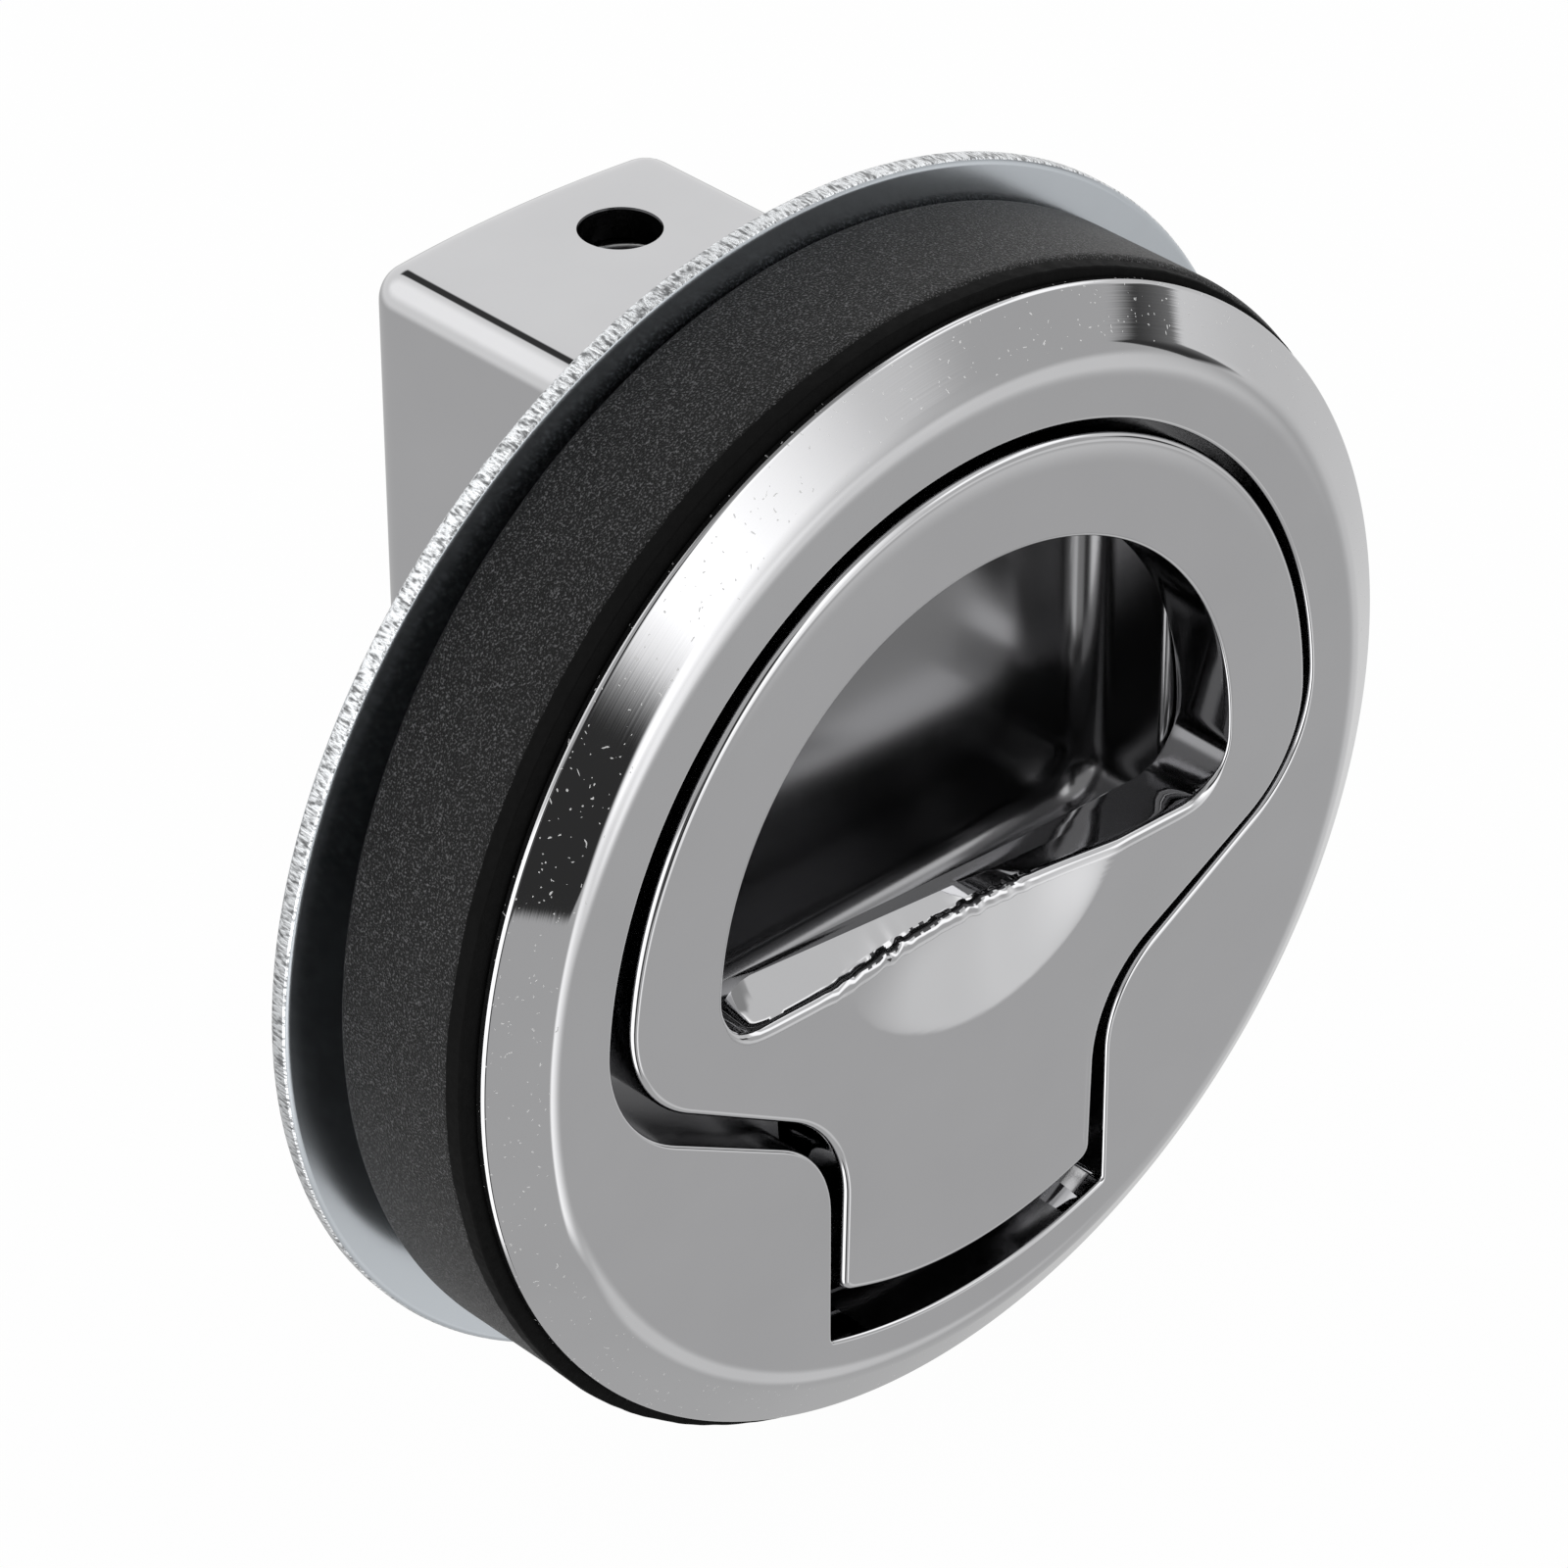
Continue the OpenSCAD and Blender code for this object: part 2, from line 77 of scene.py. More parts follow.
def keyhole(gap, foot, foot_r, toe_r):
    """Keyhole outline, gap inside the opening: a round top, two corners, two sloping edges that bend into
    the stem, and a stem with a curved foot. All its arcs touch each other or the straight edges."""
    q = math.sqrt((SLOT_R - CORNER_R) ** 2 - (ARM_REACH - CORNER_R) ** 2)
    s, c = math.sin(ARM_SLOPE), math.cos(ARM_SLOPE)
    cx, cy = (ARM_REACH - CORNER_R) * s + q * c, -(ARM_REACH - CORNER_R) * c + q * s
    nx = STEM_W / 2 + NECK_R
    ny = (nx * s - ARM_REACH - NECK_R) / c
    tx = STEM_W / 2 - gap - toe_r
    ty = foot_r - foot - math.sqrt((foot_r - toe_r) ** 2 - tx ** 2)
    turn, toe = math.atan2(cy, cx), math.atan2(ty - foot_r + foot, tx)
    corner = bend(cx, cy, CORNER_R - gap, turn, ARM_SLOPE - math.pi / 2, 20)
    corner_end = np.array([cx + (CORNER_R - gap) * s, cy - (CORNER_R - gap) * c])
    neck = bend(nx, ny, NECK_R + gap, math.pi / 2 + ARM_SLOPE, math.pi, 18)
    neck_end = np.array([nx - NECK_R - gap, ny])
    toes = bend(tx, ty, toe_r, 0, toe, 6)
    return both_sides(np.concatenate([
        bend(0, 0, SLOT_R - gap, math.pi / 2, turn, 148),
        corner, corner_end[None], straight(corner_end, neck[0], 15),
        neck, neck_end[None], straight(neck_end, toes[0], 9),
        toes, bend(0, foot_r - foot, foot_r, toe, -math.pi / 2, 22), [[0.0, -foot]],
    ]))


def d_outline(r, y, foot, corner, w):
    """D outline: a circle of radius r about (0, y), cut off at the half-width w and at -foot, with round
    lower corners."""
    low = corner - foot
    out = min(w - corner, math.sqrt((r - corner) ** 2 - (low - y) ** 2))
    tangent = math.atan2(low - y, out)
    if out < w - corner - 1e-9 or w >= r:
        arcs = [bend(0, y, r, math.pi / 2, tangent, 900),
                bend(out, low, corner, tangent, -math.pi / 2, 300)]
    else:
        meet = math.acos(w / r)
        side = np.array([w, y + r * math.sin(meet)])
        arcs = [bend(0, y, r, math.pi / 2, meet, 700), side[None], straight(side, np.array([w, low]), 200),
                bend(out, low, corner, 0, -math.pi / 2, 300)]
    heel, middle = np.array([out, -foot]), np.array([0, -foot])
    return both_sides(np.concatenate([*arcs, heel[None], straight(heel, middle, 300), middle[None]]))


def on_rays(outline, guide, eye):
    """Points of an outline that lie on the rays from eye through the guide's points, one for each."""
    def ray(p):
        return (np.arctan2(p[:, 0] - eye[0], p[:, 1] - eye[1]) + 2 * np.pi) % (2 * np.pi)
    a = ray(outline)
    order = np.argsort(a)
    x, y = (np.interp(ray(guide), a[order], outline[order, k], period=2 * np.pi) for k in (0, 1))
    return np.stack([x, y], -1)


def ring(outline, z):
    """An outline lifted to the height z, which may differ from point to point."""
    return np.column_stack([outline, np.broadcast_to(z, len(outline))])


def edge(outline, z, r, up, n=6):
    """Rings round an edge of radius r between a flat at height z and a wall. outline(d) is the wall's
    outline moved by d towards the flat. The rings start on the flat and follow a quarter circle down the
    wall (up = 1) or up it (up = -1)."""
    arc = [ring(outline(r * (1 - np.sin(a))), z - up * r * (1 - np.cos(a)))
           for a in np.linspace(0, np.pi / 2, n)]
    return [ring(outline(r + 0.04), z), *arc]


def circle(r, n=480):
    """Circle of n points about the axis, from the top and clockwise."""
    a = np.pi / 2 - 2 * np.pi * np.arange(n) / n
    return np.stack([r * np.cos(a), r * np.sin(a)], -1)


def shell(name, *sheets):
    """Closed skin in metres in the row frame, from sheets of points in millimetres that are drawn face up. A
    sheet is an array [rows, columns, 3] whose columns run once round the piece: four neighbouring points make
    a face, and points that lie in one place become one."""
    points, faces, first = [], [], 0
    for sheet in sheets:
        sheet = np.asarray(sheet, float)
        rows, cols = sheet.shape[:2]
        a = first + np.arange(rows * cols).reshape(rows, cols)
        b = np.roll(a, -1, 1)
        faces.append(np.stack([a[:-1], b[:-1], b[1:], a[1:]], -1).reshape(-1, 4))
        points.append(sheet.reshape(-1, 3))
        first += rows * cols
    p = np.concatenate(points) / 1000
    mesh = bpy.data.meshes.new(name)
    mesh.from_pydata(np.stack([p[:, 0], -p[:, 2], p[:, 1]], -1).tolist(), [], np.concatenate(faces).tolist())
    work = bmesh.new()
    work.from_mesh(mesh)
    bmesh.ops.remove_doubles(work, verts=work.verts, dist=1e-6)
    bmesh.ops.dissolve_degenerate(work, dist=1e-8, edges=work.edges)
    bmesh.ops.recalc_face_normals(work, faces=work.faces)
    work.to_mesh(mesh)
    work.free()
    piece = bpy.data.objects.new(name, mesh)
    bpy.context.scene.collection.objects.link(piece)
    return piece


def block(low, high):
    """Plain box between two corners, as a sheet for shell()."""
    (x0, y0, z0), (x1, y1, z1) = low, high
    square = np.array([[x0, y0], [x1, y0], [x1, y1], [x0, y1]], float)
    middle = np.tile([[(x0 + x1) / 2, (y0 + y1) / 2]], (4, 1))
    return [ring(middle, z0), ring(square, z0), ring(square, z1), ring(middle, z1)]


def bar(r, x0, x1, centre, n=48):
    """Round bar of radius r along x, from x0 to x1."""
    a = 2 * np.pi * np.arange(n) / n
    round_ = np.stack([np.zeros(n), r * np.cos(a), r * np.sin(a)], -1) + [0, centre[1], centre[2]]
    hub = np.tile([[0, centre[1], centre[2]]], (n, 1))
    return [hub + [x0, 0, 0], round_ + [x0, 0, 0], round_ + [x1, 0, 0], hub + [x1, 0, 0]]


def machine(piece, tool, how):
    """Joins a tool's solid to the piece (UNION) or cuts it away (DIFFERENCE), and removes the tool."""
    step = piece.modifiers.new(how, "BOOLEAN")
    step.operation, step.solver, step.object = how, "EXACT", tool
    done = bpy.data.meshes.new_from_object(piece.evaluated_get(bpy.context.evaluated_depsgraph_get()))
    piece.modifiers.clear()
    old, piece.data = piece.data, done
    done.name = piece.name
    bpy.data.meshes.remove(old)
    bpy.data.objects.remove(tool)


def fit_piece(piece, finish, body, slot, *nodes):
    """Shades the skin smooth with crisp edges over 30 degrees, and puts it in the place of its CAD nodes."""
    piece.data.shade_smooth()
    piece.data.set_sharp_from_angle(angle=math.radians(30))
    piece.data.materials.clear()
    piece.data.materials.append(finish)
    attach(piece, body)
    if nodes:
        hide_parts(*nodes)


def node_maker(material):
    """Gives a material an empty node tree and returns what adds a node to it, with its settings and its
    sockets. A socket takes a value, or the output of another node."""
    material.use_nodes = True
    tree = material.node_tree
    tree.nodes.clear()

    def add(kind, sockets=(), **settings):
        made = tree.nodes.new(kind)
        for name, value in settings.items():
            setattr(made, name, value)
        for socket, value in dict(sockets).items():
            if isinstance(value, bpy.types.NodeSocket):
                tree.links.new(value, made.inputs[socket])
            else:
                made.inputs[socket].default_value = value
        return made.outputs
    return add


def skin_maker(name):
    """A new material. Returns it, what adds a node to it, what gives it its Principled shader, and the
    place on the piece that its patterns read."""
    material = bpy.data.materials.new(name)
    add = node_maker(material)

    def skin(sockets):
        add("ShaderNodeOutputMaterial", {"Surface": add("ShaderNodeBsdfPrincipled", sockets)["BSDF"]})
    return material, add, skin, add("ShaderNodeTexCoord")["Object"]


def plated(name, colour, gloss, marks=0.0, dust=0.0):
    """Bright plated metal: gloss is its roughness, marks the depth of the fine rings that the polishing
    lathe leaves on the chamfer, and dust the share of pale specks there. Where the mesh says unpolished, the
    plating is thin and dull and its base colour dark: painted shade in the recesses, and on the handle the
    dark seam of its cast flash. Where it says sheared, the edge shows the streaks of the shears, bumped and
    painted pale and dark as their glints and shade."""
    metal, add, skin, place = skin_maker(name)
    cloud = add("ShaderNodeTexNoise", {"Vector": place, "Scale": 140, "Detail": 3})["Fac"]

    def blend(share, a, b):
        return add("ShaderNodeMix", {"Factor": share, "A": a, "B": b}, data_type="RGBA")["Result"]

    def reckon(how, *terms):
        return add("ShaderNodeMath", dict(enumerate(terms)), operation=how)[0]

    def ramp(value, low, high, to_low=0.0, to_high=1.0):
        return add("ShaderNodeMapRange", {
            "Value": value, "From Min": low, "From Max": high, "To Min": to_low, "To Max": to_high})["Result"]

    # Dust lies in small cells that a slow noise has strewn about, most of it outside the flat face
    strewn = add("ShaderNodeVectorMath", {
        0: add("ShaderNodeTexNoise", {"Vector": place, "Scale": 700})["Color"],
        1: (0.002, 0.002, 0.002), 2: place}, operation="MULTIPLY_ADD")[0]
    speck = add("ShaderNodeTexVoronoi", {"Vector": strewn, "Scale": 2600}, feature="F1")
    axes = add("ShaderNodeSeparateXYZ", {0: place})
    flat = add("ShaderNodeCombineXYZ", {"X": axes["X"], "Y": axes["Z"]})[0]
    radius = add("ShaderNodeVectorMath", {0: flat}, operation="LENGTH")["Value"]
    outer = ramp(radius, 0.0276, 0.0290)
    still = ramp(outer, 0.0, 1.0, 1 - dust / 40, 1 - dust)
    lint = reckon("MULTIPLY", reckon("LESS_THAN", speck["Distance"], 0.15),
                  reckon("GREATER_THAN", speck["Color"], still))

    unpolished_shade = add("ShaderNodeAttribute", attribute_name="unpolished_and_shade")["Fac"]
    cut = add("ShaderNodeAttribute", attribute_name="sheared")["Fac"]
    drawn = add("ShaderNodeVectorMath", {0: place, 1: (1, 0.3, 1)}, operation="MULTIPLY")[0]
    grooved = add("ShaderNodeTexNoise", {"Vector": drawn, "Scale": 5200, "Detail": 4})["Fac"]
    # Painted highlight and shade: along the sheared edge the base colour swings between dark grey and near
    # white, standing in for the glints and shade of the shear streaks
    streaks_and_glints = blend(ramp(grooved, 0.36, 0.54), (0.20, 0.205, 0.21, 1), (0.90, 0.92, 0.94, 1))
    tint = blend(cloud, (*[c * 0.96 for c in colour], 1), (*[c * 1.04 for c in colour], 1))
    dusty = blend(lint, tint, (0.75, 0.75, 0.75, 1))
    # Painted shade: on faces marked unpolished the base colour turns dark grey, as shade in the recesses; on
    # the handle it is the dark seam of the flash
    with_painted_shade = blend(unpolished_shade, dusty, (0.075, 0.075, 0.078, 1))
    haze = reckon("MAXIMUM", ramp(cloud, 0.0, 1.0, gloss * 0.8, gloss * 1.3), reckon("MULTIPLY", lint, 0.6))

    torn_off = add("ShaderNodeBump", {"Strength": cut, "Distance": 0.00012, "Height": grooved})["Normal"]
    peel = add("ShaderNodeTexNoise", {"Vector": place, "Scale": 420, "Detail": 2})["Fac"]
    relief = add("ShaderNodeBump", {
        "Strength": 0.12, "Distance": 0.000012, "Height": peel, "Normal": torn_off})["Normal"]
    if marks:
        fine = add("ShaderNodeTexNoise", {
            "W": radius, "Scale": 9000, "Detail": 2}, noise_dimensions="1D")["Fac"]
        relief = add("ShaderNodeBump", {
            "Strength": reckon("MULTIPLY", outer, marks), "Distance": 0.000004,
            "Height": fine, "Normal": relief})["Normal"]
    skin({"Metallic": 1.0, "Base Color": blend(cut, with_painted_shade, streaks_and_glints),
          "Roughness": reckon("MULTIPLY_ADD", unpolished_shade, 0.22, haze), "Normal": relief})
    return metal


chrome = plated("housing_chrome", (0.60, 0.60, 0.61), 0.035, marks=0.16, dust=0.6)


def opening(grow):
    """The keyhole opening's outline, grown outwards."""
    return keyhole(-grow, SLOT_FOOT + grow, SLOT_FOOT_R + grow, 0.3 + grow)


slot_edge = opening(0)
RAYS_FROM = (0, 5)


def cup(grow):
    """The finger cup's outline, grown outwards, with its points on the rays of the opening's."""
    return on_rays(d_outline(21 + grow, 0, 7 + grow, 3 + grow, 17.6 + grow), slot_edge, RAYS_FROM)


# The face rolls over into the chamfer: over the soft width its slope grows with the square of the way
slope, rim_top, bead, soft_w = math.atan2(CHAMFER_H, BEZEL_R - FACE_R), BEZEL_BACK + RIM_H, 0.3, 2.0
soft_x = FACE_R - soft_w * 2 / 3
turned_edge = [(soft_x + soft_w * t, FACE_Z - math.tan(slope) * soft_w * t ** 3 / 3)
               for t in np.linspace(0, 1, 28)]
bead_z = rim_top - bead * (1 - math.sin(slope)) / math.cos(slope)
rim_edge = [(BEZEL_R - bead + bead * math.cos(a), bead_z + bead * math.sin(a))
            for a in np.linspace(math.pi / 2 - slope, 0, 10)]
chamfer = [(r, rim_top + (BEZEL_R - r) * math.tan(slope))
           for r in (soft_x + soft_w + 0.05, rim_edge[0][0] - 0.05)]
profile = [(soft_x - 0.05, FACE_Z), *turned_edge, *chamfer, *rim_edge,
           (BEZEL_R, BEZEL_BACK + 0.06), (BEZEL_R - 0.06, BEZEL_BACK), (BODY_R + 0.3, BEZEL_BACK),
           (BODY_R, BEZEL_BACK - 0.3), (BODY_R, -BODY_DEPTH + 0.5), (BODY_R - 0.5, -BODY_DEPTH),
           (0, -BODY_DEPTH)]
spokes = on_rays(circle(soft_x, 2880), slot_edge, RAYS_FROM) / soft_x
casting = shell("bezel_and_box", [
    ring(slot_edge * 0 + RAYS_FROM, CUP_Z), ring(cup(-2.5), CUP_Z),
    *edge(lambda d: cup(-d), CUP_Z, 2.0, -1, 10),
    *edge(cup, RECESS_Z, 0.4, 1)[::-1],
    ring(opening(-0.05), RECESS_Z), ring(opening(0), RECESS_Z),
    *edge(opening, FACE_Z, 0.22, 1)[::-1], ring(opening(0.3), FACE_Z),
    *[ring(spokes * r, z) for r, z in profile],
])

BOX_HALF, BOX_END, BOX_TOP, BOX_DEPTH, BOX_EDGE, CROWN = 9.75, 24.8, -6.8, 31.1, 1.9, 0.7
GUIDE_X, GUIDE_Z, SCREW_X, PIN_BORE = 2.2, -24.5, 21.5, 1.55


def box_outline(inset):
    """Outline of the box seen from behind: a rectangle with round corners, drawn in from the full size."""
    r = max(BOX_EDGE - inset, 1e-4)
    w, h = BOX_HALF - BOX_EDGE, BOX_END - BOX_EDGE
    quarter = [bend(sx * w, sy * h, r, a, a - math.pi / 2, 12) for sx, sy, a in
               ((1, 1, math.pi / 2), (1, -1, 0), (-1, -1, -math.pi / 2), (-1, 1, math.pi))]
    sides = np.array([((-w, h + r), (w, h + r)), ((w + r, h), (w + r, -h)),
                      ((w, -h - r), (-w, -h - r)), ((-w - r, -h), (-w - r, h))])
    line = [np.concatenate([[start], straight(start, end, 24)]) for start, end in sides]
    return np.concatenate([part for pair in zip(line, quarter) for part in pair])


def rear(outline, up):
    """An outline on the crowned rear face, or up above it: deepest in the middle, CROWN less at the sides."""
    return ring(outline, up - BOX_DEPTH + CROWN * (outline[:, 0] / BOX_HALF) ** 2)


rounding = np.linspace(0, np.pi / 2, 12)
inner = box_outline(BOX_EDGE)
box_block = shell("box_block", [
    ring(inner * 0, BOX_TOP), ring(box_outline(0), BOX_TOP),
    ring(box_outline(0), -BOX_DEPTH + BOX_EDGE + CROWN + 0.4),
    *[rear(box_outline(BOX_EDGE * (1 - math.cos(a))), BOX_EDGE * (1 - math.sin(a))) for a in rounding],
    *[rear(inner * s, 0) for s in np.linspace(0.98, 0, 12)],
])
machine(casting, box_block, "UNION")

# Room for the hub behind the opening's foot, the lever's way back and the bolt's channel
foot_half = slot_edge[(slot_edge[:, 0] >= 0) & (slot_edge[:, 1] < -24)]
pocket = both_sides(np.concatenate([[[0, -12], [9.84, -12]], foot_half + [0, 0.1]]))
pocket_eye = np.tile([[0.0, -18.0]], (len(pocket), 1))
machine(casting, shell("hub_pocket", [
    ring(outline, z)
    for outline, z in ((pocket_eye, -4.5), (pocket, -4.5), (pocket, -0.5), (pocket_eye, -0.5))
]), "DIFFERENCE")
side_view = np.array([[-23.35, -3.5], [-16, -3.5], [-16, -4.5], [-5.65, -20.25], [-23.35, -20.25]])
middle = np.tile([[-18.0, -10.0]], (5, 1))
machine(casting, shell("lever_shaft", [
    np.column_stack([np.full(5, x), yz])
    for x, yz in ((-4, middle), (-4, side_view), (4, side_view), (4, middle))
]), "DIFFERENCE")
machine(casting, shell("bolt_channel", block((-8.05, -26, -29.75), (8.05, 23.05, -19.25))), "DIFFERENCE")
machine(casting, shell("guide_hole", [
    np.column_stack([GUIDE_X + r * np.sin(a), np.full(64, y), GUIDE_Z + r * np.cos(a)])
    for a in [2 * np.pi * np.arange(64) / 64]
    for r, y in ((0, 22), (2.15, 22), (2.15, 24.7), (2.2, 24.78), (2.2, 24.9), (0, 24.9))
]), "DIFFERENCE")
machine(casting, shell("pin_bore", bar(PIN_BORE, -27, 27, PIVOT)), "DIFFERENCE")
for side in (-1, 1):
    machine(casting, shell("tapped_hole", [
        ring(circle(r, 32) + [side * SCREW_X, 0], z)
        for r, z in ((0, -9), (2.05, -9), (2.05, -2.9), (0, -2.2))
    ]), "DIFFERENCE")


def face_middles(piece):
    """The middles of a piece's faces in millimetres on the face's own axes, as three rows x, y and z."""
    x, y, z = np.array([face.center for face in piece.data.polygons]).T * 1000
    return np.stack([x, z, -y])


def mark_faces(piece, name, share):
    """Writes a number for each face, which the piece's finish reads by its name."""
    piece.data.attributes.new(name, "FLOAT", "FACE").data.foreach_set("value", share.astype(float))


# The polish reaches the faces that a wheel can reach, so the slot's walls, the cup and the channel are
# duller; their dark base colour is painted shade in these recesses and in the guide hole
x, y, z = face_middles(casting)
slot = (np.hypot(x, y) < 25.5) & (z > RECESS_Z - 0.1) & (z < FACE_Z - 0.35)
inside = (np.hypot(x, y) < 25) & (z < RECESS_Z + 0.1) & (z > CUP_Z - 0.1)
boxed = (np.abs(x) < 8.3) & (y < 23.2) & (y > -23.6) & (z < CUP_Z - 0.1) & (z > -29.8)
boxed |= (np.hypot(x - GUIDE_X, z - GUIDE_Z) < 2.3) & (y > 21) & (y < 24.75)
mark_faces(casting, "unpolished_and_shade", np.where(boxed, 1.0, np.where(inside | slot, 0.65, 0.0)))
fit_piece(casting, chrome, "base", "chrome_casting", "housing")

# Gasket: a flat ring punched from black rubber sheet. It lies under the bezel's rim, slipped a little to the
# left, and its ragged cut edge stands out there.
rubber, add, skin, place = skin_maker("gasket_rubber")
grit = add("ShaderNodeTexNoise", {"Vector": place, "Scale": 2600, "Detail": 4})["Fac"]
skin({"Base Color": (0.003, 0.003, 0.003, 1), "Specular IOR Level": 0.07,
      "Roughness": add("ShaderNodeMapRange", {"Value": grit, "To Min": 0.5, "To Max": 0.8})["Result"],
      "Normal": add("ShaderNodeBump", {"Strength": 0.5, "Distance": 0.00004, "Height": grit})["Normal"]})


def wander(turns, seed):
    """A line of height 1 that wanders smoothly round the circle: a sum of waves with seeded phases."""
    chance = np.random.default_rng(seed)
    a = 2 * np.pi * np.arange(720) / 720
    waves = np.arange(3, turns)
    size = chance.normal(size=len(waves)) / waves ** 0.6
    phase = chance.uniform(0, 2 * np.pi, len(waves))
    line = (size[:, None] * np.sin(waves[:, None] * a + phase[:, None])).sum(0)
    return line / np.abs(line).max()


RINGS_BORE = 26.8
cut = 0.06 * wander(160, 4)[:, None]
seal = circle(1, 720)
sealed = shell("rubber_gasket", [ring(seal * (r + cut * k) + [-0.58 * k, 0.33 * k], z) for r, z, k in (
    (RINGS_BORE, 0.04, 0), (31.37, 0.04, 1), (31.45, 0.1, 1), (31.46, 0.55, 1), (31.43, 0.94, 1),
    (31.37, 1.01, 1), (RINGS_BORE, 1.01, 0), (RINGS_BORE, 0.04, 0))])
fit_piece(sealed, rubber, "base", "gasket_rubber", "gasket")

# Spacer ring: black moulded plastic with the fine grain of its spark-eroded mould, whose glints are painted
# into its colour as pale dots. It slips over the body and makes up the thickness of a thin panel.
plastic, add, skin, place = skin_maker("spacer_plastic")
grain = add("ShaderNodeTexNoise", {"Vector": place, "Scale": 9000, "Detail": 3})["Fac"]
grain_glints = add("ShaderNodeMapRange", {"Value": grain, "From Min": 0.52, "From Max": 0.72})["Result"]
# Painted glints: where the grain is high the base colour turns pale grey
skin({"Base Color": add("ShaderNodeMix", {
          "Factor": grain_glints, "A": (0.003, 0.003, 0.003, 1), "B": (0.16, 0.16, 0.165, 1)},
          data_type="RGBA")["Result"],
      "Roughness": 0.4, "Specular IOR Level": 0.2,
      "Normal": add("ShaderNodeBump", {"Strength": 1.0, "Distance": 0.00012, "Height": grain})["Normal"]})
spacer = shell("spacer_hoop", [ring(circle(r, 360), z) for r, z in (
    (RINGS_BORE, -8.17), (31.2, -8.17), (31.24, -8.17), (31.38, -8.12), (31.55, -7.95), (31.63, -7.8),
    (31.65, -7.6), (31.65, -7.5), (31.65, -0.6), (31.65, -0.5), (31.62, -0.3), (31.5, -0.12), (31.38, -0.05),
    (31.24, -0.02), (RINGS_BORE, -0.02), (RINGS_BORE, -8.17))])
fit_piece(spacer, plastic, "base", "spacer_plastic", "spacer_ring")

# Back plate: a round disc stamped from 1.27 mm sheet steel, zinc plated, with a window for the box. It
# hangs loosely on its two screws, so that its upper edge rocks forward onto the spacer ring.
PLATE_R, PLATE_T, TILT, SLIPPED = 33.5, 1.27, math.radians(3.4), [0.15, 0.15, 0]
PLATE_Z = -8.23 - 31.25 * math.tan(TILT)
zinc = plated("zinc_plate", (0.66, 0.70, 0.74), 0.2)


def rocked(sheet):
    """Turns a sheet of points about the x axis by the plate's rock and sets it back to the plate's place,
    where it has slipped a little in the play of its screws."""
    x, y, z = np.moveaxis(np.asarray(sheet, float), -1, 0)
    c, s = math.cos(TILT), math.sin(TILT)
    return np.stack([x, y * c - z * s, y * s + z * c + PLATE_Z], -1) + SLIPPED


disc = shell("stamped_disc", rocked([ring(circle(r), z) for r, z in (
    (0, 0), (PLATE_R - 0.35, 0), (PLATE_R - 0.2, -0.02), (PLATE_R - 0.07, -0.08), (PLATE_R, -0.2),
    (PLATE_R, -0.45), (PLATE_R - 0.01, -0.85), (PLATE_R - 0.07, -1.05), (PLATE_R - 0.2, -1.2),
    (PLATE_R - 0.42, -PLATE_T), (0, -PLATE_T))]))
window = both_sides(np.array([[0, 25.4], [10.35, 25.4], [10.35, -25.4], [0, -25.4]]))
machine(disc, shell("window", rocked([
    ring(window * k, z) for k, z in ((0, -3), (1, -3), (1, 2), (0, 2))])), "DIFFERENCE")
for side in (-1, 1):
    machine(disc, shell("screw_hole", rocked([ring(circle(r, 48) + [side * SCREW_X, 0], z) for r, z in (
        (0, -3), (2.4, -3), (2.4, 2), (0, 2))])), "DIFFERENCE")
x, y, _ = face_middles(disc)
mark_faces(disc, "sheared", np.hypot(x - SLIPPED[0], (y - SLIPPED[1]) / math.cos(TILT)) > PLATE_R - 0.1)
fit_piece(disc, zinc, "base", "zinc_plate", "back_plate")

# Clamp screws: two steel M4 pan heads with a cross recess, cold headed, rolled and zinc plated. They pull
# plate and spacer up to the body.
HEAD_R, HEAD_H, BRIM_R, CROSS_ARM, CROSS_HALF, CROSS_DEEP = 3.8, 2.6, 1.3, 2.0, 0.45, 1.5
SHANK_LONG, PITCH, TIP_FROM = 8, 0.7, 7.6
HEAD_Z = PLATE_Z - PLATE_T / math.cos(TILT) - HEAD_R * math.tan(TILT) - 0.03
screw_zinc = plated("screw_zinc", (0.66, 0.70, 0.74), 0.25)


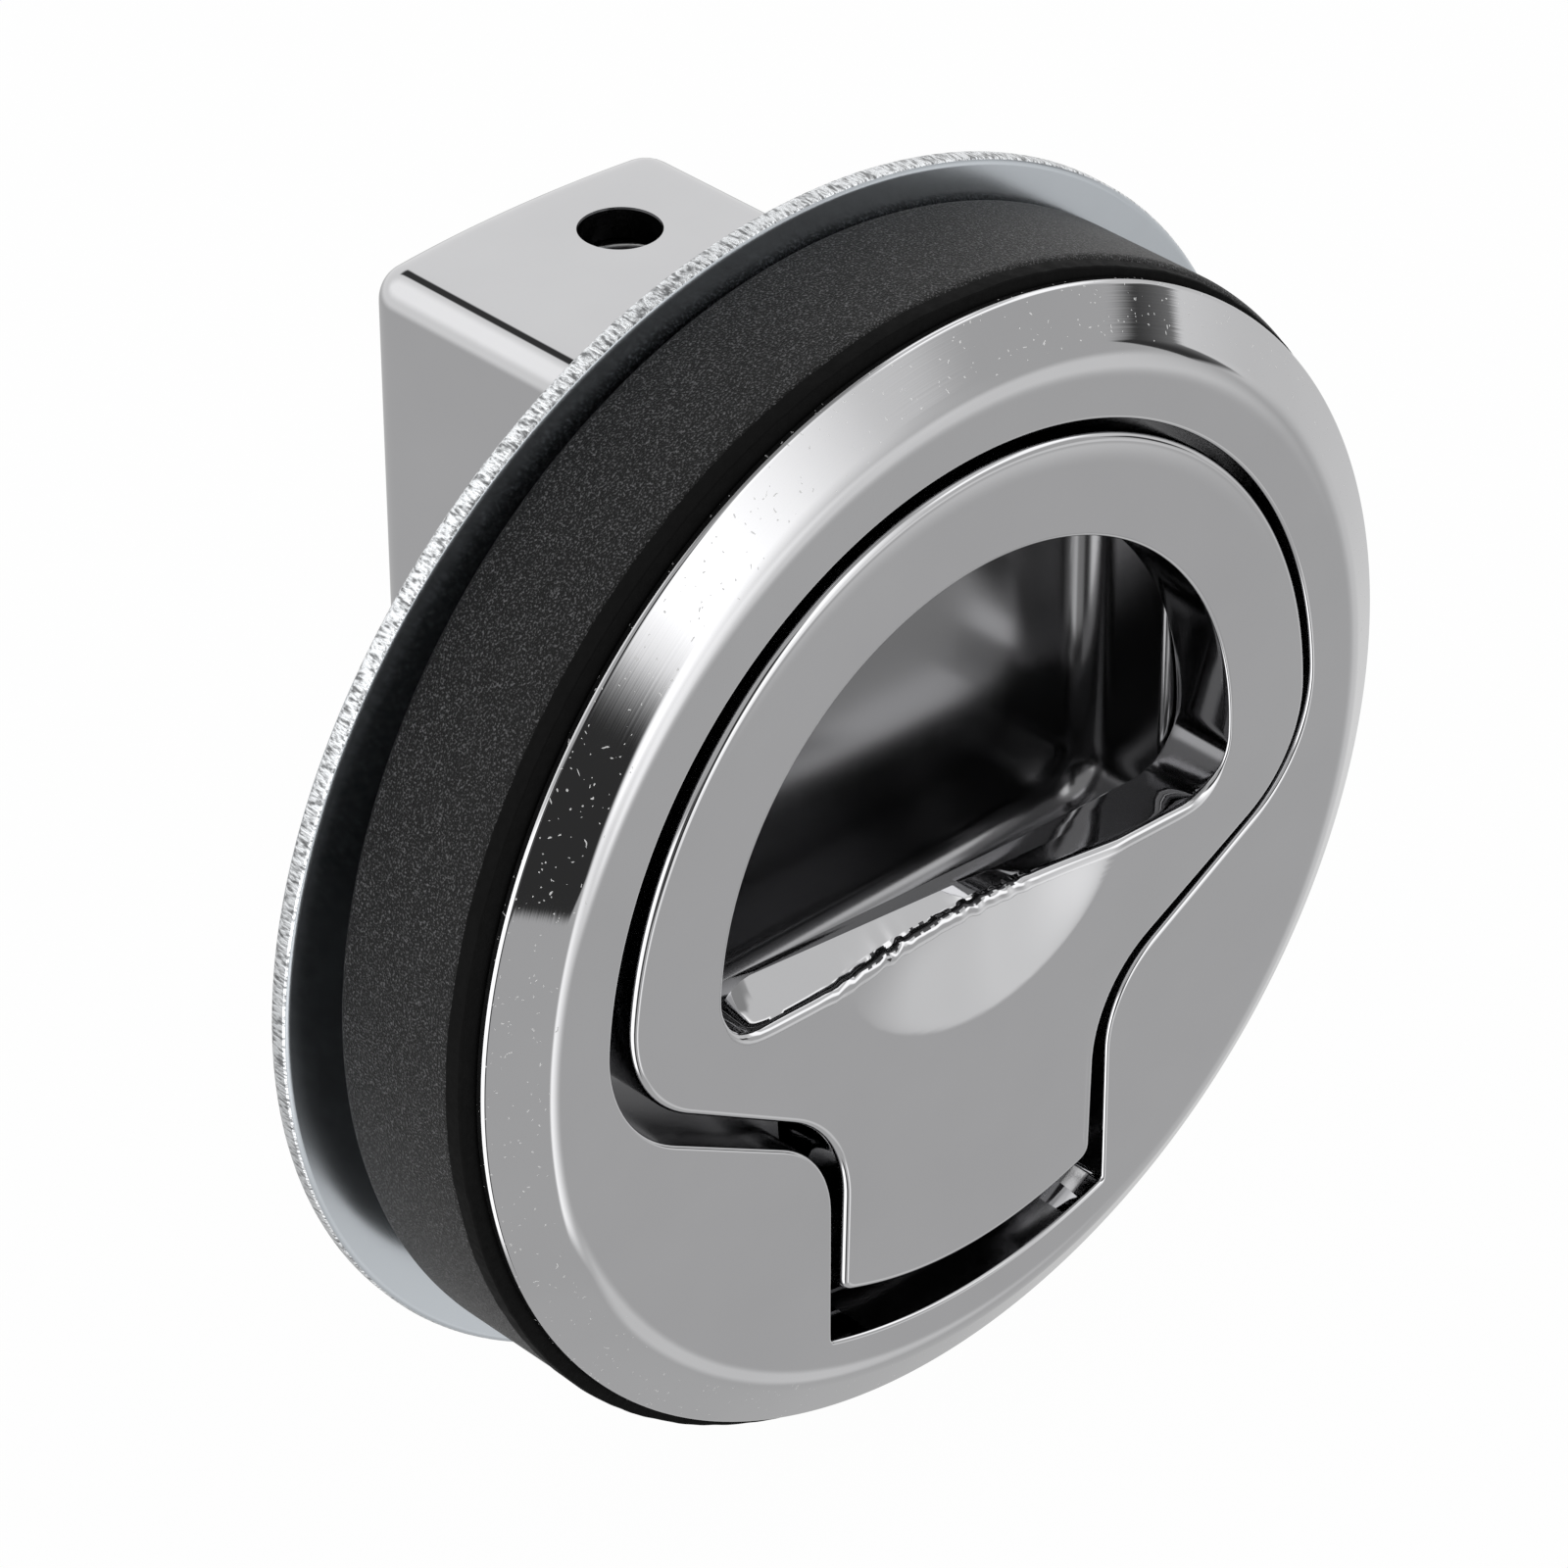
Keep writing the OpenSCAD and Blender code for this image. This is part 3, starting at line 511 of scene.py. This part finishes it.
def pan_screw(name, x):
    """A height over polar rings: the head is a low dome less a cross whose arms sink with sloping walls, and
    the shank's radius carries a thread, a wave that climbs one pitch in each turn."""
    n = 192
    a = 2 * np.pi * np.arange(n) / n
    away = np.stack([np.cos(a), np.sin(a)], -1)
    brim = 2.5 + BRIM_R * np.sin(np.linspace(0.1, np.pi / 2, 12))
    r = np.concatenate([np.linspace(0, 2.6, 40), brim])[:, None]
    px, py = np.abs(r * away[:, 0]), np.abs(r * away[:, 1])
    arm = np.minimum(np.maximum(px - CROSS_ARM, py - CROSS_HALF), np.maximum(py - CROSS_ARM, px - CROSS_HALF))
    sunk = CROSS_DEEP * np.clip(-arm / 0.35, 0, 1)
    fall = np.clip(r - 2.5, 0, None) / BRIM_R
    dome = HEAD_H - BRIM_R * (1 - np.sqrt(np.clip(1 - fall ** 2, 0, 1)))
    head = np.stack([r * away[:, 0], r * away[:, 1], HEAD_Z - dome + sunk], -1)
    z = HEAD_Z + np.linspace(0, SHANK_LONG, 161)[:, None]
    thread = 1.82 + 0.17 * np.abs(((z - HEAD_Z) / PITCH - a / (2 * np.pi)) % 1 * 2 - 1)
    thread = np.where(z > HEAD_Z + TIP_FROM, thread - (z - HEAD_Z - TIP_FROM) * 0.8, thread)
    shank = np.stack([thread * away[:, 0], thread * away[:, 1], z + 0 * a], -1)
    tip, under = shank[-1:] * [0, 0, 1], head[-1:] * [1, 1, 0] + [0, 0, HEAD_Z]
    sheet = np.concatenate([head, under, shank, tip]) + [x, 0, 0]
    return shell(name, sheet)


fit_piece(pan_screw("left_pan_screw", -SCREW_X), screw_zinc, "base", "zinc_screw", "left_screw")
fit_piece(pan_screw("right_pan_screw", SCREW_X), screw_zinc, "base", "zinc_screw", "right_screw")

# Bolt: a zinc casting that slides in the box. Its nose is bevelled on the rear, so that the hatch slams
# shut, and a pocket in its front takes the lever's tip.
bolt_metal = plated("bolt_plating", (0.58, 0.58, 0.59), 0.12)
BOLT_HALF = 7.8
corners = np.array([[-6.5, -19.5], [-6.5, -29.5], [-28.5, -29.5], [-36.1, -22.5], [-36.1, -19.5]])


def bolt_side(inset, r=0.5, n=8):
    """Side view of the bolt: a polygon with round corners, drawn in by inset. Each corner's arc is centred r
    inside both of its sides."""
    before, after = np.roll(corners, 1, 0) - corners, np.roll(corners, -1, 0) - corners
    before /= np.linalg.norm(before, axis=1)[:, None]
    after /= np.linalg.norm(after, axis=1)[:, None]
    mid = before + after
    mid /= np.linalg.norm(mid, axis=1)[:, None]
    half = np.arccos((before * mid).sum(1))
    centre = corners + mid * (r / np.sin(half))[:, None]
    start, end = (np.stack([w[:, 1], -w[:, 0]], -1) for w in (before, -after))
    flip = np.sign((start * mid).sum(1))[:, None]
    start, end = -start * flip, -end * np.sign((end * mid).sum(1))[:, None]
    t = np.linspace(0, 1, n)[None, :, None]
    way = start[:, None] * (1 - t) + end[:, None] * t
    way /= np.linalg.norm(way, axis=2)[..., None]
    return (centre[:, None] + way * (r - inset)).reshape(-1, 2)


def bolt_ring(x, inset):
    """The bolt's side view set at x."""
    yz = bolt_side(inset)
    return np.column_stack([np.full(len(yz), x), yz])


quarter = np.linspace(0, np.pi / 2, 8)
flat_end = np.tile([[-BOLT_HALF, -20.0, GUIDE_Z]], (40, 1))
bolt_rows = [flat_end, *[
    bolt_ring(-BOLT_HALF + 0.4 * (1 - math.cos(a)), 0.4 * (1 - math.sin(a))) for a in quarter]]
slider = shell("slam_bolt", [*bolt_rows, *[row * [-1, 1, 1] for row in bolt_rows[::-1]]])
machine(slider, shell("lever_pocket", block((-3.45, -22.35, -25.3), (3.45, -17.65, -18.5))), "DIFFERENCE")
fit_piece(slider, bolt_metal, "bolt", "plated_bolt", "latch_bolt")

# Guide pin: a ground steel pin pressed into the bolt's inner end. It carries the spring, and its free end
# runs in the hole at the top of the box.
steel = plated("ground_steel", (0.56, 0.56, 0.56), 0.22)
around = 2 * np.pi * np.arange(48) / 48
guide = shell("guide_rod", [
    np.column_stack([GUIDE_X + r * np.sin(around), np.full(48, y), GUIDE_Z + r * np.cos(around)])
    for r, y in ((0, -13.4), (1.8, -13.4), (1.8, 19.3), (1.75, 19.55), (1.3, 20), (0, 20))])
fit_piece(guide, steel, "bolt", "steel_pin", "guide_pin")

# Bolt spring: drawn stainless wire, coiled round the guide pin between the bolt and the end of the box. Its
# last turns are closed, and lie flat against the bolt and the box.
WIRE_R, COIL_R, COIL_LOW, TURNS, POINTS = 0.45, 3.5, -6.45, 11.5, 690
turn = np.linspace(0, 2 * np.pi * TURNS, POINTS)
rise = np.interp(turn, [0, 2 * np.pi * 0.8, 2 * np.pi * 10.7, 2 * np.pi * TURNS], [0.45, 1.3, 28.15, 29.0])
section = 2 * np.pi * np.arange(12) / 12
wire_r = np.concatenate([[0], np.full(POINTS - 2, WIRE_R), [0]])[:, None]
out_r = COIL_R + wire_r * np.cos(section)
coil = shell("coiled_wire", np.stack([
    GUIDE_X + out_r * np.cos(turn)[:, None], COIL_LOW + rise[:, None] + wire_r * np.sin(section),
    GUIDE_Z + out_r * np.sin(turn)[:, None],
], -1))
fit_piece(coil, steel, "base", "spring_steel", "bolt_spring")
# Of its 29.5 mm the bolt's travel takes 11
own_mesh(coil)

# Pull handle: a zinc casting, polished and chromed, with a D-shaped finger hole and a scooped dish below
# it. Its hub turns on the pivot pin, its lever reaches back into the bolt, and the plate sits a little askew
# on the pin, so that the gap round it is wide on the left and narrow on the right.
HANDLE_GAP, HANDLE_BACK, HOLE_FOOT, ASKEW = 0.9, -0.5, 2.4, math.radians(1.5)
DISH_Y, DISH_R, DISH_DEEP = 2.8, 11.4, 1.35
handle_chrome = plated("handle_chrome", (0.60, 0.60, 0.61), 0.04, dust=0.8)


def handle_outline(inset):
    """The handle's outline, drawn in."""
    return keyhole(HANDLE_GAP + inset, 23.0 - inset, 24.0 - inset, 1.0 - inset)


lever_edge = handle_outline(0)


def hole(grow):
    """The finger hole's outline, grown outwards, with its points on the rays of the handle's outline."""
    outline = d_outline(17.8 + grow, 0.4, HOLE_FOOT + grow, 3 + grow, 17.8 + grow)
    return on_rays(outline, lever_edge, (0, 7.5))


def height(points):
    """The face's height: flat, less a round dish that fades out softly at its border, and less a slight
    roll-off along the outline."""
    away = np.hypot(points[:, 0], points[:, 1] - DISH_Y) / DISH_R
    dish = DISH_DEEP * np.clip(1 - away ** 2, 0, 1) ** 1.2
    rim = np.linalg.norm(points - lever_edge, axis=1)
    return FACE_Z - dish - 0.1 * np.clip(1 - rim / 1.8, 0, 1) ** 2


def torn(x):
    """How far the flash along the hole's lower edge stands out: a sum of short waves, faded at its ends."""
    chance = np.random.default_rng(11)
    waves = chance.uniform(1.5, 6.5, 24)
    ragged = np.sin(np.outer(x, waves) + chance.uniform(0, 6.28, 24)).sum(1)
    return 0.012 * ragged * np.interp(x, [-12, -9, 2, 5], [0, 1, 1, 0])


# The hole's lower edge is a rounded lip, with a seam of cast flash that was left along its front
hole_in, hole_out = hole(0), hole(1)
low = np.clip(1 - (hole_in[:, 1] + HOLE_FOOT) / 1.5, 0, 1)
lip = np.column_stack([0 * low, low * np.interp(hole_in[:, 0], [-17, -14, 4, 9], [0, 1.45, 0.2, 0])])
flash = np.column_stack([0 * low, low * torn(hole_in[:, 0])])
hole_r, sweep = 0.16 + 0.4 * low, (hole_out - hole_in)
rows = []
for a in np.linspace(0, np.pi / 2, 9):
    outline = hole_in + sweep * (hole_r * (1 - math.sin(a)))[:, None] + flash
    rows.append(ring(outline, height(outline) - hole_r * (1 - math.cos(a))))
front_z = rows[-1][:, 2]
wall = [ring(hole_in + lip * k, front_z * (1 - k) + 0.9 * k) for k in (1, 0.95, 0.5, 0.16, 0.12)]
near, far = hole_in + sweep * hole_r[:, None] + flash, handle_outline(0.5)
spread = []
for t in np.concatenate([[0.004], np.linspace(0.02, 1, 70)[:-1] ** 1.5]):
    outline = near * (1 - t) + far * t
    spread.append(ring(outline, height(outline)))
plate_sheet = np.array([
    ring(hole_in + lip * 0.5, HANDLE_BACK + 0.2), ring(hole_in + lip * 0.85, 0.3),
    *wall, *rows[::-1], *spread,
    *edge(handle_outline, height(far)[0], 0.45, 1, 10),
    *edge(handle_outline, HANDLE_BACK, 0.2, -1)[::-1],
    *edge(lambda d: hole(d) + lip * 0.5, HANDLE_BACK, 0.2, -1),
])
skew = np.array([
    [math.cos(ASKEW), -math.sin(ASKEW), 0], [math.sin(ASKEW), math.cos(ASKEW), 0], [0, 0, 1]])
grip = shell("grip_plate", (plate_sheet - PIVOT) @ skew + PIVOT)
machine(grip, shell("hub", bar(3.0, -8.75, 8.75, PIVOT, 96)), "UNION")
machine(grip, shell("lever", block((-3, -21.3, -23), (3, -18.7, -1))), "UNION")
machine(grip, shell("lever_tip", bar(1.9, -3, 3, [0, -20, -23], 64)), "UNION")
machine(grip, shell("hub_bore", bar(PIN_BORE, -10, 10, PIVOT)), "DIFFERENCE")
x, y, z = ((face_middles(grip).T - PIVOT) @ skew.T + PIVOT).T
seam = np.abs(y + HOLE_FOOT - torn(x) + 0.06) < 0.06 + 0.07 * np.sin(5.1 * x) * np.sin(3.3 * x + 1)
seam &= (x > -8.5) & (x < 3.4) & (z > 1.2)
mark_faces(grip, "unpolished_and_shade", seam)
fit_piece(grip, handle_chrome, "handle", "chrome_handle", "pull_handle")

# Pivot pin: a plain ground steel pin with chamfered ends, through the body and the handle's hub. The rings
# round the body keep it in.
pin = shell("hinge_pin", [
    np.column_stack([np.full(48, x), PIVOT[1] + r * np.cos(around), PIVOT[2] + r * np.sin(around)])
    for r, x in ((0, -15), (1.25, -15), (1.5, -14.75), (1.5, 14.75), (1.25, 15), (0, 15))])
fit_piece(pin, steel, "base", "steel_pin", "pivot_pin")

# Studio: a plain pale floor that shows white to the eye and is hidden from the metal's reflections, and a
# white room. A long lens looks down on the latch from its front left.
lens = bpy.data.cameras.new("camera")
lens.sensor_width, lens.lens = 36, 157.5
camera = bpy.data.objects.new("camera", lens)
bpy.context.scene.collection.objects.link(camera)
camera.matrix_world = Matrix((
    (0.7230, 0.3844, -0.5741, -0.2001), (-0.6909, 0.3995, -0.6026, -0.19965),
    (-0.0023, 0.8322, 0.5544, 0.19234), (0, 0, 0, 1)))
bpy.context.scene.camera = camera
lens.clip_start, lens.clip_end = 0.01, 50

FLOOR_HALF, FLOOR_Z, FLOOR_WHITE = 2, -0.0365, 0.98
floor_mesh = bpy.data.meshes.new("floor")
floor_mesh.from_pydata([
    (x * FLOOR_HALF, y * FLOOR_HALF, FLOOR_Z) for x, y in ((-1, -1), (1, -1), (1, 1), (-1, 1))
], [], [(0, 1, 2, 3)])
floor = bpy.data.objects.new("floor", floor_mesh)
bpy.context.scene.collection.objects.link(floor)
floor.visible_glossy = False
pale = bpy.data.materials.new("pale_floor")
add = node_maker(pale)
seen = add("ShaderNodeLightPath")
looks = seen["Is Camera Ray"]
for ray in ("Is Glossy Ray", "Is Transmission Ray"):
    looks = add("ShaderNodeMath", {0: looks, 1: seen[ray]}, operation="ADD", use_clamp=True)[0]
both = add("ShaderNodeMixShader", {
    "Fac": add("ShaderNodeMath", {0: looks, 1: FLOOR_WHITE}, operation="MULTIPLY")[0],
    1: add("ShaderNodeBsdfDiffuse", {"Color": (0.75, 0.75, 0.75, 1)})[0], 2: add("ShaderNodeEmission")[0]})[0]
add("ShaderNodeOutputMaterial", {"Surface": both})
floor_mesh.materials.append(pale)

room = bpy.data.worlds.new("white_room")
bpy.context.scene.world = room
add = node_maker(room)
add("ShaderNodeOutputWorld", {"Surface": add("ShaderNodeBackground", {"Color": (1, 1, 1, 1)})[0]})

# Light tent: a cloth dome round latch and camera, lit from outside and seen only in the metal. It is
# brightest in front, where it has a slit for the camera, darker below, and has dark seams. A grid of
# directions, az round from the front and el up, is scaled to the dome's radius.
tent_r = 6.0
az, el = np.meshgrid(np.linspace(0, 2 * np.pi, 97), np.linspace(-np.pi / 2, np.pi / 2, 49))
dome = np.stack([np.cos(el) * np.sin(az), -np.cos(el) * np.cos(az), np.sin(el)], -1) * tent_r
tent_mesh = bpy.data.meshes.new("light_tent")
cells = np.arange(96 * 49).reshape(49, 96)
after = np.roll(cells, -1, 1)
tent_mesh.from_pydata(dome[:, :-1].reshape(-1, 3).tolist(), [], np.stack(
    [cells[:-1], cells[1:], after[1:], after[:-1]], -1).reshape(-1, 4).tolist())
tent = bpy.data.objects.new("light_tent", tent_mesh)
bpy.context.scene.collection.objects.link(tent)
tent.visible_camera = False
cloth = bpy.data.materials.new("tent_cloth")
add = node_maker(cloth)
way = add("ShaderNodeVectorMath", {0: add("ShaderNodeTexCoord")["Object"]}, operation="NORMALIZE")[0]
way = add("ShaderNodeSeparateXYZ", {0: way})
front = add("ShaderNodeMath", {0: way["Y"], 1: -1}, operation="MULTIPLY")[0]
turned = add("ShaderNodeMath", {0: way["X"], 1: front}, operation="ARCTAN2")[0]
raised = add("ShaderNodeMath", {0: way["Z"]}, operation="ARCSINE")[0]


def border(angle, start, end, low=0.0, high=1.0):
    """Goes smoothly from low to high while the angle, given in degrees, goes from start to end."""
    return add("ShaderNodeMapRange", {
        "Value": angle, "From Min": math.radians(start), "From Max": math.radians(end),
        "To Min": low, "To Max": high}, interpolation_type="SMOOTHSTEP")["Result"]


def band(angle, low, low_soft, high, high_soft):
    """1 between two angles in degrees and 0 beyond them, each border with its own softness."""
    return add("ShaderNodeMath", {
        0: border(angle, low - low_soft, low + low_soft),
        1: border(angle, high + high_soft, high - high_soft)}, operation="MULTIPLY")[0]


def panel(light, az, el, level):
    """Lays a rectangle of the dome over the light so far: az says where it begins and ends round the dome
    and el where up the dome, each border followed by its softness."""
    both = add("ShaderNodeMath", {0: band(turned, *az), 1: band(raised, *el)}, operation="MULTIPLY")[0]
    return add("ShaderNodeMix", {"Factor": both, "A": light, "B": level}, data_type="FLOAT")["Result"]


light = border(raised, -22, -4, 0.56, 0.97)
for az, el, level in (
    ((-75, 4, 62, 4), (-60, 4, 90, 4), 0.55),
    ((-200, 8, 200, 8), (62, 8, 95, 8), 0.35),
    ((-5, 6, 17, 25), (-15, 8, 50, 3), 2.0),
    ((-6, 3, 6, 12), (-50, 3, -15, 8), 1.5),
    ((15, 8, 60, 8), (-60, 5, -45, 3), 0.8),
    ((33, 4, 55, 8), (-26, 4, -8, 5), 0.85),
    ((10, 8, 30, 12), (-26, 4, -8, 5), 1.4),
    ((30, 5, 100, 5), (22, 5, 40, 3), 1.6),
    ((40, 5, 110, 5), (40, 3, 66, 3), 0.78),
    ((80, 6, 110, 5), (48, 3, 66, 3), 1.6),
    ((-26, 3, -8, 3), (-14, 0.7, 40, 2), 0.04),
    ((57.5, 0.6, 67, 0.8), (-11, 2, 6.5, 1.5), 0.05),
    ((70, 10, 125, 10), (-45, 8, 20, 8), 0.76),
    ((-42, 4, -27, 1.5), (-60, 5, 15, 5), 0.06),
    ((-112, 6, -47, 4), (-60, 5, 15, 5), 1.9),
    ((-165, 14, -95, 14), (14, 10, 60, 10), 1.3),
    ((154, 3, 177, 3), (37, 4, 62, 4), 0.05),
):
    light = panel(light, az, el, level)
add("ShaderNodeOutputMaterial", {"Surface": add("ShaderNodeEmission", {"Strength": light})[0]})
tent_mesh.materials.append(cloth)
bpy.context.scene.view_settings.view_transform = "Standard"
